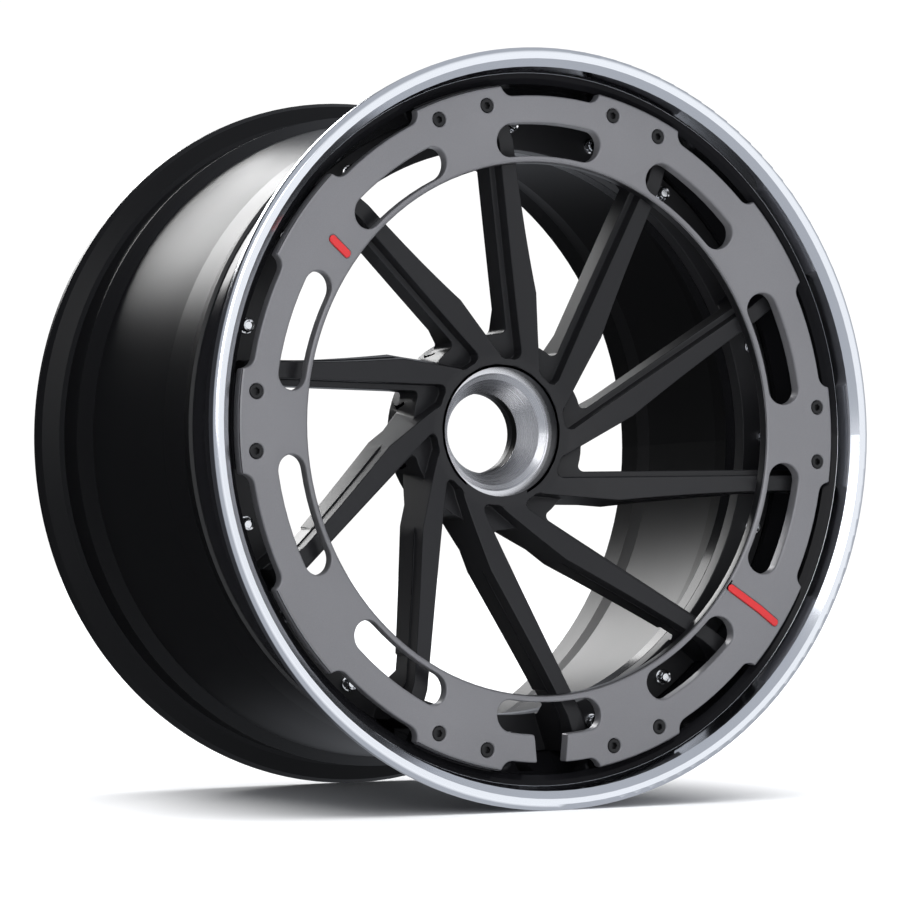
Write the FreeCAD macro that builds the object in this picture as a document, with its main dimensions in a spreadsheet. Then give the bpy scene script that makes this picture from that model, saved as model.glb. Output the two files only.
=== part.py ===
"""Bolted road wheel with a ten-spoke forged centre and a slotted front ring.

Millimetres. The wheel spins about Y, its front looks along -Y and it stands with +Z up. The origin is on
the axis, in the middle of the rim's width. Depths are measured backwards from the circle of the front edge.
"""
import FreeCAD, Part
import math
import os
import Sketcher
from FreeCAD import Placement, Rotation, Vector

SIZES = {
    # Rim
    "rim_radius": 274.0,
    "edge_round": 4.5,
    "edge_land": 3.0,
    "edge_back": 4.8,
    "crease_drop": 8.3,
    "crease_depth": 0.9,
    "band_drop": 13.6,
    "band_depth": 4.6,
    "middle_depth": 160.3,
    "polish_drop": 16.5,
    "polish_depth": 13.0,
    "step_drop": 20.2,
    "step_depth": 15.0,
    "bead_drop": 17.6,
    "bead_depth": 17.0,
    "bead_width": 25.0,
    "bead_round": 3.0,
    "hump_height": 1.6,
    "hump_width": 6.0,
    "rim_wall": 6.5,
    "joint_drop": 28.0,
    "joint_depth": 93.0,
    "joint_slope_depth": 74.0,
    "flange_bore_drop": 65.0,
    "flange_thickness": 12.0,
    "lip_bore_drop": 36.0,
    "lip_slope_depth": 64.0,
    "well_drop": 31.0,
    "well_depth": 112.0,
    "well_width": 36.0,
    "barrel_rise_drop": 24.0,
    "barrel_rise_depth": 262.0,
    "rear_mouth_drop": 11.5,
    "rear_mouth_depth": 12.0,
    "seal_round": 2.0,
    "valve_radius": 5.65,
    "valve_drop": 26.5,
    "valve_start_depth": 44.0,
    # Centre
    "hub_face_depth": 80.0,
    "hub_pocket_radius": 48.0,
    "hub_bore_radius": 30.0,
    "hub_floor_depth": 116.0,
    "hub_back_depth": 124.0,
    "hub_radius": 73.0,
    "hub_collar_depth": 112.0,
    "hub_shoulder_radius": 92.0,
    "face_round": 34.0,
    "face_bend_inner": 48.2,
    "face_bend_outer": 59.8,
    "face_slope": 20.0,
    "tip_inset": 65.0,
    "tip_flat": 20.0,
    "tip_drop": 10.0,
    "spoke_depth": 29.0,
    "ledge_depth": 10.5,
    "ledge_width": 4.5,
    "centre_drop": 36.4,
    "centre_step": 1.0,
    "face_overlap": 1.0,
    "cut_reach": 10.0,
    "cut_margin": 1.0,
    "flange_neck_depth": 3.0,
    "flange_neck_width": 7.0,
    "flange_cut_share": 0.25,
    "flange_face_depth": 69.0,
    "spoke_count": 10.0,
    "trail_offset": 34.1,
    "trail_tilt": 18.9,
    "lead_offset_front": 42.1,
    "lead_offset_rear": 70.5,
    "lead_tilt_front": 18.0,
    "lead_tilt_rear": 24.0,
    "root_offset_front": 29.5,
    "root_offset_rear": 48.7,
    "root_tilt": 10.4,
    "outline_front_depth": 14.0,
    "outline_ledge_depth": 92.0,
    "outline_rear_depth": 126.0,
    "pocket_end_radius": 55.0,
    "pocket_round": 5.0,
    "window_round": 4.0,
    "window_outer_round": 9.0,
    "drive_hole_radius": 8.0,
    "drive_hole_circle": 60.0,
    "drive_hole_depth": 18.0,
    "drive_hole_count": 5.0,
    # Cone seat in the hub
    "seat_face_depth": 88.0,
    "seat_ring_radius": 45.1,
    "seat_groove": 1.2,
    "seat_cone_radius": 39.5,
    "seat_cone_depth": 92.6,
    "seat_throat_depth": 109.0,
    # Front ring
    "ring_drop": 25.0,
    "ring_inner_drop": 81.3,
    "ring_bend_drop": 49.6,
    "ring_face_depth": 8.2,
    "ring_inner_depth": 14.5,
    "ring_thickness": 9.5,
    "ring_chamfer": 1.5,
    "slot_drop": 64.9,
    "slot_width": 23.2,
    "slot_half_angle": 8.7,
    "notch_drop": 33.3,
    "notch_bottom_half_angle": 7.5,
    "notch_mouth_half_angle": 9.6,
    "notch_round": 9.0,
    "valve_gap_inner": 30.0,
    "valve_gap_outer": 22.0,
    "lug_inner_drop": 45.0,
    "lug_half_angle": 7.6,
    "lug_depth": 14.0,
    # Accent bars
    "bar_width": 5.7,
    "bar_proud": 0.6,
    "bar_sink": 2.0,
    "bar_angle": 126.0,
    "long_bar_start_drop": 79.4,
    "long_bar_end_drop": 30.1,
    "short_bar_start_drop": 74.7,
    "short_bar_end_drop": 53.3,
    # Fasteners
    "bolt_count": 20.0,
    "bolt_drop": 47.4,
    "bolt_head_radius": 6.0,
    "bolt_head_height": 7.0,
    "bolt_shank_radius": 3.5,
    "bolt_length": 33.0,
    "bolt_clearance": 0.3,
    "nut_radius": 6.6,
    "nut_height": 7.0,
    "screw_drop": 37.9,
    "screw_pair_half_angle": 5.0,
    "screw_head_radius": 5.0,
    "screw_head_height": 4.5,
    "screw_recess": 0.5,
    "screw_shank_radius": 3.0,
    "screw_length": 16.0,
}

# The ring is screwed down in six of the gaps between its slots: two opposite gaps, copied twice each
SCREWED_GAPS = (0, 5)
SCREWED_COPIES = 3
SCREWED_ANGLE = 144

doc = FreeCAD.newDocument("wheel")
sheet = doc.addObject("Spreadsheet::Sheet", "Sizes")
for row, (alias, number) in enumerate(SIZES.items(), start=1):
    sheet.set(f"A{row}", alias)
    sheet.set(f"B{row}", str(number))
    sheet.setAlias(f"B{row}", alias)
doc.recompute()


class Size:
    """A length or angle that keeps its formula on the sheet beside its present value."""

    def __init__(self, text, value):
        self.text = text
        self.value = value

    @staticmethod
    def of(other):
        return other if isinstance(other, Size) else Size(repr(float(other)), float(other))

    def joined(self, sign, other, value):
        return Size(f"({self.text} {sign} {other.text})", value)

    def __add__(self, other):
        other = Size.of(other)
        return self.joined("+", other, self.value + other.value)

    def __sub__(self, other):
        other = Size.of(other)
        return self.joined("-", other, self.value - other.value)

    def __mul__(self, other):
        other = Size.of(other)
        return self.joined("*", other, self.value * other.value)

    def __truediv__(self, other):
        other = Size.of(other)
        return self.joined("/", other, self.value / other.value)

    def __neg__(self):
        return Size(f"(0 - {self.text})", -self.value)


def size(alias):
    return Size(f"Sizes.{alias}", float(sheet.get(alias)))


def rim(inset):
    """Radius that lies the named size inside the rim's edge."""
    return size("rim_radius") - size(inset)


def sine(angle):
    return Size(f"sin({angle.text})", math.sin(math.radians(angle.value)))


def cosine(angle):
    return Size(f"cos({angle.text})", math.cos(math.radians(angle.value)))


def tangent(angle):
    return Size(f"tan({angle.text})", math.tan(math.radians(angle.value)))


def leg(hypotenuse, other):
    squared = hypotenuse * hypotenuse - other * other
    return Size(f"sqrt({squared.text})", math.sqrt(squared.value))


def at(depth):
    """Place on the Y axis of a depth behind the front edge."""
    return Size.of(depth) - size("middle_depth")


def polar(radius, angle):
    """Point of the front view, with the angle clockwise from the top."""
    return radius * sine(angle), radius * cosine(angle)


def cap_end(radius, angle, reach):
    """Point beside a polar one, at a reach clockwise along the circle's tangent."""
    across, up = polar(radius, angle)
    return across + reach * cosine(angle), up - reach * sine(angle)


def on_line(offset, tilt, radius):
    """Point at a radius on a line that passes the axis at an offset and leans left by a tilt."""
    along = leg(radius, offset)
    return offset * cosine(tilt) - along * sine(tilt), offset * sine(tilt) + along * cosine(tilt)


def crossing(offset_a, tilt_a, offset_b, tilt_b):
    """Point where two such lines cross."""
    turn = sine(tilt_b - tilt_a)
    across = (offset_a * sine(tilt_b) - offset_b * sine(tilt_a)) / turn
    return across, (offset_b * cosine(tilt_a) - offset_a * cosine(tilt_b)) / turn


def scaled(point, factor):
    return point[0] * factor, point[1] * factor


def shifted(point, tilt, distance):
    """Point moved across a line that leans left by a tilt."""
    return point[0] + distance * cosine(tilt), point[1] + distance * sine(tilt)


def new_body(label):
    body = doc.addObject("PartDesign::Body", label)
    body.Label = label
    body.AllowCompound = True
    return body


def new_sketch(body, name, role, depth=None):
    """Sketch on an origin plane of the body, or at a depth in front view."""
    sketch = body.newObject("Sketcher::SketchObject", name)
    plane = [item for item in body.Origin.OriginFeatures if item.Role == role][0]
    sketch.AttachmentSupport = [(plane, "")]
    sketch.MapMode = "FlatFace"
    if depth is not None:
        sketch.AttachmentOffset = Placement(Vector(0, 0, -at(depth).value), Rotation())
        sketch.setExpression("AttachmentOffset.Base.z", (-at(depth)).text)
    return sketch


def pin_point(sketch, shape, end, point):
    for kind, place in zip(("DistanceX", "DistanceY"), point):
        index = sketch.addConstraint(Sketcher.Constraint(kind, -1, 1, shape, end, place.value))
        sketch.setExpression(f"Constraints[{index}]", place.text)


def shorter_arc(start, end, centre, radius):
    """Arc between two points about a centre, and whether it runs anticlockwise from the first."""
    angles = [math.atan2(point.y - centre.y, point.x - centre.x) for point in (start, end)]
    sweep = (angles[1] - angles[0]) % math.tau
    forward = sweep < math.pi
    circle = Part.Circle(centre, Vector(0, 0, 1), radius)
    if forward:
        return Part.ArcOfCircle(circle, angles[0], angles[0] + sweep), True
    return Part.ArcOfCircle(circle, angles[1], angles[1] + math.tau - sweep), False


def draw(sketch, outline):
    """Closed outline. Each entry is a point, with the radius and centre of the arc that follows it, if any."""
    spots = [Vector(entry[0][0].value, entry[0][1].value, 0) for entry in outline]
    count = len(outline)
    first = sketch.GeometryCount
    ends = []
    for index, entry in enumerate(outline):
        start, end = spots[index], spots[(index + 1) % count]
        if len(entry) == 1:
            sketch.addGeometry(Part.LineSegment(start, end))
            ends.append((1, 2))
            continue
        centre = Vector(entry[2][0].value, entry[2][1].value, 0)
        arc, forward = shorter_arc(start, end, centre, entry[1].value)
        sketch.addGeometry(arc)
        ends.append((1, 2) if forward else (2, 1))
    for index, entry in enumerate(outline):
        following = (index + 1) % count
        joint = Sketcher.Constraint(
            "Coincident", first + index, ends[index][1], first + following, ends[following][0])
        sketch.addConstraint(joint)
        pin_point(sketch, first + index, ends[index][0], entry[0])
        if len(entry) > 1:
            number = sketch.addConstraint(Sketcher.Constraint("Radius", first + index, entry[1].value))
            sketch.setExpression(f"Constraints[{number}]", entry[1].text)


def draw_circle(sketch, centre, radius):
    shape = sketch.addGeometry(
        Part.Circle(Vector(centre[0].value, centre[1].value, 0), Vector(0, 0, 1), radius.value))
    pin_point(sketch, shape, 3, centre)
    number = sketch.addConstraint(Sketcher.Constraint("Radius", shape, radius.value))
    sketch.setExpression(f"Constraints[{number}]", radius.text)


def corners(*points):
    return [(point,) for point in points]


def revolve(body, name, outline):
    """Turned blank from a closed profile of radius and depth."""
    profile = new_sketch(body, f"{name}_profile", "XY_Plane")
    draw(profile, outline)
    turned = body.newObject("PartDesign::Revolution", name)
    turned.Profile = profile
    turned.ReferenceAxis = (profile, ["V_Axis"])
    turned.Angle = 360
    doc.recompute()
    return turned


def cut(body, name, sketch, length):
    """Pocket that runs backwards from its sketch."""
    pocket = body.newObject("PartDesign::Pocket", name)
    pocket.Profile = sketch
    pocket.Length = length.value
    pocket.setExpression("Length", length.text)
    before = body.Shape.Volume
    doc.recompute()
    if pocket.Shape.Volume >= before:
        raise RuntimeError(f"{name} cuts nothing")
    return pocket


def pad(body, name, sketch, length):
    """Prism that runs backwards from its sketch."""
    prism = body.newObject("PartDesign::Pad", name)
    prism.Profile = sketch
    prism.Length = length.value
    prism.setExpression("Length", length.text)
    prism.Reversed = True
    doc.recompute()
    return prism


def cut_loft(body, name, front, rear):
    loft = body.newObject("PartDesign::SubtractiveLoft", name)
    loft.Profile = front
    loft.Sections = [rear]
    loft.Ruled = True
    before = body.Shape.Volume
    doc.recompute()
    if loft.Shape.Volume >= before:
        raise RuntimeError(f"{name} cuts nothing")
    return loft


def round_pattern(body, name, features, count):
    """Copies of features all round the axle."""
    pattern = body.newObject("PartDesign::PolarPattern", name)
    pattern.Originals = features
    axis = [item for item in body.Origin.OriginFeatures if item.Role == "Y_Axis"][0]
    pattern.Axis = (axis, [""])
    pattern.Angle = 360
    pattern.Occurrences = int(count.value)
    pattern.setExpression("Occurrences", count.text)
    body.Tip = pattern
    doc.recompute()
    return pattern


def screw_pattern(body, name, features):
    """Copies of what is at the first two screwed gaps at the other four."""
    pattern = round_pattern(body, name, features, Size.of(SCREWED_COPIES))
    pattern.Angle = SCREWED_ANGLE
    doc.recompute()
    return pattern


def boolean(kind, label, base, tool):
    result = doc.addObject(kind, label)
    result.Base = base
    result.Tool = tool
    result.Label = label
    doc.recompute()
    return result


def gap_angle(gap):
    """Angle of the middle of a gap between two slots of the ring."""
    pitch = Size.of(360) / size("spoke_count")
    return pitch * (gap + 0.5)


def screw_spots():
    spread = size("screw_pair_half_angle")
    for gap in SCREWED_GAPS:
        for turn in (-spread, spread):
            yield polar(rim("screw_drop"), gap_angle(gap) + turn)


def edge_profile(side, edge_depth):
    """Points of a rolled rim edge, from its outer corner to the bead seat, at the front (1) or rear (-1)."""
    outer = size("rim_radius")
    land = edge_depth + size("edge_land") * side
    shoulder = edge_depth + (size("bead_depth") - size("bead_round")) * side
    seat = edge_depth + size("bead_depth") * side
    return corners(
        (outer, land),
        (outer - size("edge_land"), land + size("edge_back") * side),
        (rim("bead_drop") + size("bead_round"), shoulder),
        (rim("bead_drop"), seat))


def hump_profile(start, side):
    """Points of the bead seat's end and its hump, from the seat towards the well."""
    width = size("hump_width") * side
    crest = rim("bead_drop") + size("hump_height")
    return corners(
        (rim("bead_drop"), start),
        (crest, start + width / 3.0),
        (crest, start + width * 2.0 / 3.0),
        (rim("bead_drop") - size("hump_height"), start + width * 1.5))


def rounded_edge(side, edge_depth):
    """Rolled nose of a rim edge: the arc from its outer corner to its foremost circle."""
    outer, nose = size("rim_radius"), size("edge_round")
    hub = (outer - nose, edge_depth)
    return [((outer, edge_depth), nose, hub), ((outer - nose, edge_depth - nose * side),)]


def make_lip():
    body = new_body("outer_lip")
    front = at(0)
    seat_end = at(size("bead_depth") + size("bead_width"))
    back = at(size("joint_depth"))
    flange_face = back - size("flange_thickness")
    bore = rim("bead_drop") - size("rim_wall")
    crease = front - size("edge_round") + size("crease_depth")
    inside = corners(
        (rim("crease_drop"), crease),
        (rim("band_drop"), crease + size("band_depth")),
        (rim("polish_drop"), at(size("polish_depth"))),
        (rim("step_drop"), at(size("step_depth"))),
        (bore, at(size("step_depth") + size("bead_round"))),
        (bore, seat_end),
        (rim("lip_bore_drop"), at(size("lip_slope_depth"))),
        (rim("lip_bore_drop"), flange_face),
        (rim("flange_bore_drop"), flange_face),
        (rim("flange_bore_drop"), back))
    outside = corners(
        (rim("joint_drop"), back),
        (rim("joint_drop"), at(size("joint_slope_depth"))))
    hump = hump_profile(seat_end, 1)[::-1]
    edge = edge_profile(1, front)[::-1]
    revolve(body, "lip_blank", rounded_edge(1, front) + inside + outside + hump + edge)

    # Lugs behind the screwed gaps carry the front ring
    ring_back = size("ring_face_depth") + size("ring_thickness")
    lugs = new_sketch(body, "lug_outline", "XZ_Plane", ring_back)
    outer = (bore + rim("bead_drop")) / 2.0
    inner = rim("lug_inner_drop")
    origin = (Size.of(0), Size.of(0))
    half = size("lug_half_angle")
    for gap in SCREWED_GAPS:
        left, right = gap_angle(gap) - half, gap_angle(gap) + half
        draw(lugs, [
            (polar(inner, left), inner, origin), (polar(inner, right),),
            (polar(outer, right), outer, origin), (polar(outer, left),)])
    lug = pad(body, "lug", lugs, size("lug_depth"))

    holes = new_sketch(body, "screw_holes", "XZ_Plane", ring_back)
    for spot in screw_spots():
        draw_circle(holes, spot, size("screw_shank_radius"))
    hole = cut(body, "screw_hole_cut", holes, size("lug_depth"))
    screw_pattern(body, "lugs", [lug, hole])

    bolts = new_sketch(body, "bolt_hole", "XZ_Plane", size("joint_depth") - size("flange_thickness"))
    draw_circle(bolts, (Size.of(0), rim("bolt_drop")), size("bolt_shank_radius") + size("bolt_clearance"))
    hole = cut(body, "bolt_hole_cut", bolts, size("flange_thickness"))
    round_pattern(body, "bolt_holes", [hole], size("bolt_count"))

    valve = new_sketch(body, "valve_hole", "XZ_Plane", size("valve_start_depth"))
    draw_circle(valve, (Size.of(0), -rim("valve_drop")), size("valve_radius"))
    cut(body, "valve_hole_cut", valve, size("joint_slope_depth") - size("valve_start_depth"))
    return body


def make_barrel():
    body = new_body("inner_barrel")
    rear = at(size("middle_depth") * 2.0)
    seat_start = rear - size("bead_depth") - size("bead_width")
    joint = at(size("joint_depth"))
    wall = size("rim_wall")
    well_start = at(size("well_depth"))
    well_end = at(size("well_depth") + size("well_width"))
    rise = at(size("barrel_rise_depth"))
    mouth = rear - size("rear_mouth_depth")
    bore = rim("bead_drop") - wall
    outside = corners(
        (rim("joint_drop"), joint),
        (rim("joint_drop"), joint + size("flange_thickness") / 2.0),
        (rim("well_drop"), well_start),
        (rim("well_drop"), well_end),
        (rim("barrel_rise_drop"), rise))
    inside = corners(
        (rim("rear_mouth_drop"), rear),
        (bore, mouth),
        (bore, seat_start + size("hump_width")),
        (rim("barrel_rise_drop") - wall, rise - size("hump_width")),
        (rim("well_drop") - wall, well_end),
        (rim("well_drop") - wall, joint))
    hump = hump_profile(seat_start, -1)[::-1]
    edge = edge_profile(-1, rear)[::-1]
    nose = rounded_edge(-1, rear)
    revolve(body, "barrel_blank", outside + hump + edge + nose + inside)
    return body


def make_seal():
    """Bead of sealant in the corner of the joint, seen only from the tyre's side."""
    body = new_body("rim_seal")
    outer, joint, bead = rim("joint_drop"), at(size("joint_depth")), size("seal_round")
    revolve(body, "seal_bead", corners((outer, joint - bead), (outer + bead, joint), (outer, joint + bead)))
    return body


def lead_line(share):
    """Offset and tilt of a spoke's leading side, from its front at 0 to its back at 1."""
    offset = size("lead_offset_front") + (size("lead_offset_rear") - size("lead_offset_front")) * share
    tilt = size("lead_tilt_front") + (size("lead_tilt_rear") - size("lead_tilt_front")) * share
    return offset, tilt + Size.of(360) / size("spoke_count")


def root_line(share):
    """Offset and tilt of the stretch of the leading side beside the hub."""
    offset = size("root_offset_front") + (size("root_offset_rear") - size("root_offset_front")) * share
    return offset, size("root_tilt") + Size.of(360) / size("spoke_count")


def window_outline(depth, trail_offset, hub, hub_round, outer, outer_round):
    """Outline of the space between two spokes at a depth, with round corners."""
    front, rear = size("outline_front_depth"), size("outline_rear_depth")
    share = (depth - front) / (rear - front)
    trail_tilt = size("trail_tilt")
    lead, lead_tilt = lead_line(share)
    root, root_tilt = root_line(share)
    origin = (Size.of(0), Size.of(0))
    hub_trail = on_line(trail_offset - hub_round, trail_tilt, hub + hub_round)
    out_trail = on_line(trail_offset - outer_round, trail_tilt, outer - outer_round)
    out_lead = on_line(lead + outer_round, lead_tilt, outer - outer_round)
    hub_lead = on_line(root + hub_round, root_tilt, hub + hub_round)
    to_hub = hub / (hub + hub_round)
    to_outer = outer / (outer - outer_round)
    return [
        (shifted(hub_trail, trail_tilt, hub_round),),
        (shifted(out_trail, trail_tilt, outer_round), outer_round, out_trail),
        (scaled(out_trail, to_outer), outer, origin),
        (scaled(out_lead, to_outer), outer_round, out_lead),
        (shifted(out_lead, lead_tilt, -outer_round),),
        (crossing(lead, lead_tilt, root, root_tilt),),
        (shifted(hub_lead, root_tilt, -hub_round), hub_round, hub_lead),
        (scaled(hub_lead, to_hub), hub, origin),
        (scaled(hub_trail, to_hub), hub_round, hub_trail)]


def cut_windows(body, name, rear_depth, trail_offset, hub, hub_round, outer, outer_round):
    outlines = []
    for end, depth in (("front", size("outline_front_depth")), ("rear", rear_depth)):
        sketch = new_sketch(body, f"{name}_{end}", "XZ_Plane", depth)
        draw(sketch, window_outline(depth, trail_offset, hub, hub_round, outer, outer_round))
        outlines.append(sketch)
    doc.recompute()
    loft = cut_loft(body, name, *outlines)
    return round_pattern(body, f"{name}_pattern", [loft], size("spoke_count"))


def face_depth(radius):
    """Depth of the spokes' front face at a radius."""
    rise = (radius - face_foot()) * tangent(size("face_slope"))
    return size("hub_face_depth") - rise


def face_foot():
    """Radius where the hub's flat face and the spokes' cone would meet."""
    return (size("face_bend_inner") + size("face_bend_outer")) / 2.0


def make_centre():
    tip = rim("tip_inset")
    tip_depth = face_depth(tip)
    tip_end = tip + size("tip_flat")
    ledge = size("ledge_depth")
    pocket = size("hub_pocket_radius")
    flange_back = size("joint_depth") - size("flange_thickness")
    spoke = size("spoke_depth")
    shoulder = size("hub_shoulder_radius")
    bore = rim("flange_bore_drop")
    neck = bore - size("flange_neck_width")

    # Faces of the spokes and hub, down to the level of the ledges
    face = new_body("spoke_faces")
    bend = [size("face_bend_inner"), size("face_bend_outer")]
    bend_centre = (bend[0], at(size("hub_face_depth")) - size("face_round"))
    overlap = ledge + size("face_overlap")
    revolve(face, "face_blank", [
        ((pocket, at(size("hub_face_depth"))),),
        ((bend[0], at(size("hub_face_depth"))), size("face_round"), bend_centre),
        ((bend[1], at(face_depth(bend[1]))),),
        ((tip, at(tip_depth)),),
        ((tip_end, at(tip_depth)),),
        ((rim("centre_drop") - size("centre_step"), at(tip_depth + size("tip_drop"))),),
        ((rim("centre_drop") - size("centre_step"), at(tip_depth + size("tip_drop") + overlap)),),
        ((tip, at(tip_depth + overlap)),),
        ((bend[1], at(face_depth(bend[1]) + overlap)),),
        ((pocket, at(size("hub_face_depth") + overlap)),)])
    reach = rim("centre_drop") + size("cut_reach")
    cut_windows(face, "pockets", size("outline_ledge_depth"), size("trail_offset"),
                size("pocket_end_radius"), size("pocket_round"), reach, size("window_round"))

    # Body of the spokes with the hub and the bolted flange
    core = new_body("spoke_core")
    revolve(core, "core_blank", corners(
        (size("hub_bore_radius"), at(size("hub_floor_depth"))),
        (pocket, at(size("hub_floor_depth"))),
        (pocket, at(size("hub_face_depth") + ledge)),
        (bend[1], at(face_depth(bend[1]) + ledge)),
        (tip, at(tip_depth + ledge)),
        (rim("centre_drop") - size("centre_step"), at(tip_depth + size("tip_drop") + ledge)),
        (rim("centre_drop"), at(size("flange_face_depth"))),
        (rim("centre_drop"), at(flange_back)),
        (bore, at(flange_back)),
        (bore, at(size("flange_face_depth") - size("flange_neck_depth"))),
        (neck, at(face_depth(neck) + spoke)),
        (shoulder, at(face_depth(shoulder) + spoke)),
        (size("hub_radius"), at(size("hub_collar_depth"))),
        (size("hub_radius"), at(size("hub_back_depth"))),
        (size("hub_bore_radius"), at(size("hub_back_depth")))))
    cut_windows(core, "windows", size("outline_rear_depth"), size("trail_offset") - size("ledge_width"),
                size("hub_radius"), size("window_round"), bore, size("window_outer_round"))

    # The flange's face lies free between the spokes' ends
    share = size("flange_cut_share")
    lead, lead_tilt = lead_line(share)
    trail = size("trail_offset") - size("ledge_width")
    clear_start = bore - size("window_outer_round") * 2.0
    clear = new_sketch(core, "flange_outline", "XZ_Plane", Size.of(0))
    origin = (Size.of(0), Size.of(0))
    draw(clear, [
        (on_line(trail, size("trail_tilt"), clear_start),),
        (on_line(trail, size("trail_tilt"), reach), reach, origin),
        (on_line(lead, lead_tilt, reach),),
        (on_line(lead, lead_tilt, clear_start), clear_start, origin)])
    flange_cut = cut(core, "flange_cut", clear, size("flange_face_depth"))
    round_pattern(core, "flange_faces", [flange_cut], size("spoke_count"))

    bolts = new_sketch(core, "bolt_hole", "XZ_Plane", size("flange_face_depth"))
    draw_circle(bolts, (Size.of(0), rim("bolt_drop")), size("bolt_shank_radius") + size("bolt_clearance"))
    hole = cut(core, "bolt_hole_cut", bolts, flange_back - size("flange_face_depth"))
    round_pattern(core, "bolt_holes", [hole], size("bolt_count"))

    drive = new_sketch(core, "drive_hole", "XZ_Plane", size("hub_back_depth") - size("drive_hole_depth"))
    draw_circle(drive, (Size.of(0), size("drive_hole_circle")), size("drive_hole_radius"))
    hole = cut(core, "drive_hole_cut", drive, size("drive_hole_depth"))
    round_pattern(core, "drive_holes", [hole], size("drive_hole_count"))
    return boolean("Part::Fuse", "wheel_centre", core, face)


def make_seat():
    body = new_body("centre_seat")
    pocket, ring = size("hub_pocket_radius"), size("seat_ring_radius")
    face, groove = at(size("seat_face_depth")), size("seat_groove")
    revolve(body, "seat_blank", corners(
        (pocket, face),
        (ring, face),
        (ring, face + groove),
        (ring - groove, face + groove),
        (size("seat_cone_radius"), at(size("seat_cone_depth"))),
        (size("hub_bore_radius"), at(size("seat_throat_depth"))),
        (size("hub_bore_radius"), at(size("hub_floor_depth"))),
        (pocket, at(size("hub_floor_depth")))))
    return body


def ring_face(inset):
    """Depths of the ring's front at its inner edge, bend and outer edge, moved back by an inset."""
    return size("ring_inner_depth") + inset, size("ring_face_depth") + inset


def make_bars():
    """Raised accent bars that follow the ring's bent front."""
    layer = new_body("bar_layer")
    inner, bend = rim("ring_inner_drop"), rim("ring_bend_drop")
    outer = rim("ring_drop")
    low, high = size("bar_sink"), -size("bar_proud")
    revolve(layer, "bar_layer_blank", corners(
        (inner, at(ring_face(high)[0])),
        (bend, at(ring_face(high)[1])),
        (outer, at(ring_face(high)[1])),
        (outer, at(ring_face(low)[1])),
        (bend, at(ring_face(low)[1])),
        (inner, at(ring_face(low)[0]))))
    bars = []
    for label, turn, start, end in (("accent_bar_long", 0, "long_bar_start_drop", "long_bar_end_drop"),
                                    ("accent_bar_short", 180, "short_bar_start_drop", "short_bar_end_drop")):
        body = new_body(f"{label}_prism")
        sketch = new_sketch(body, f"{label}_outline", "XZ_Plane", Size.of(0))
        angle = size("bar_angle") + turn
        half = size("bar_width") / 2.0
        ends = [polar(rim(start) + half, angle), polar(rim(end) - half, angle)]
        side = (half * cosine(angle), -(half * sine(angle)))
        draw(sketch, [
            ((ends[0][0] + side[0], ends[0][1] + side[1]),),
            ((ends[1][0] + side[0], ends[1][1] + side[1]), half, ends[1]),
            (polar(rim(end), angle), half, ends[1]),
            ((ends[1][0] - side[0], ends[1][1] - side[1]),),
            ((ends[0][0] - side[0], ends[0][1] - side[1]), half, ends[0]),
            (polar(rim(start), angle), half, ends[0])])
        pad(body, f"{label}_pad", sketch, size("ring_inner_depth") + size("ring_thickness"))
        bars.append(boolean("Part::Common", label, body, layer))
    return bars


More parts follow.
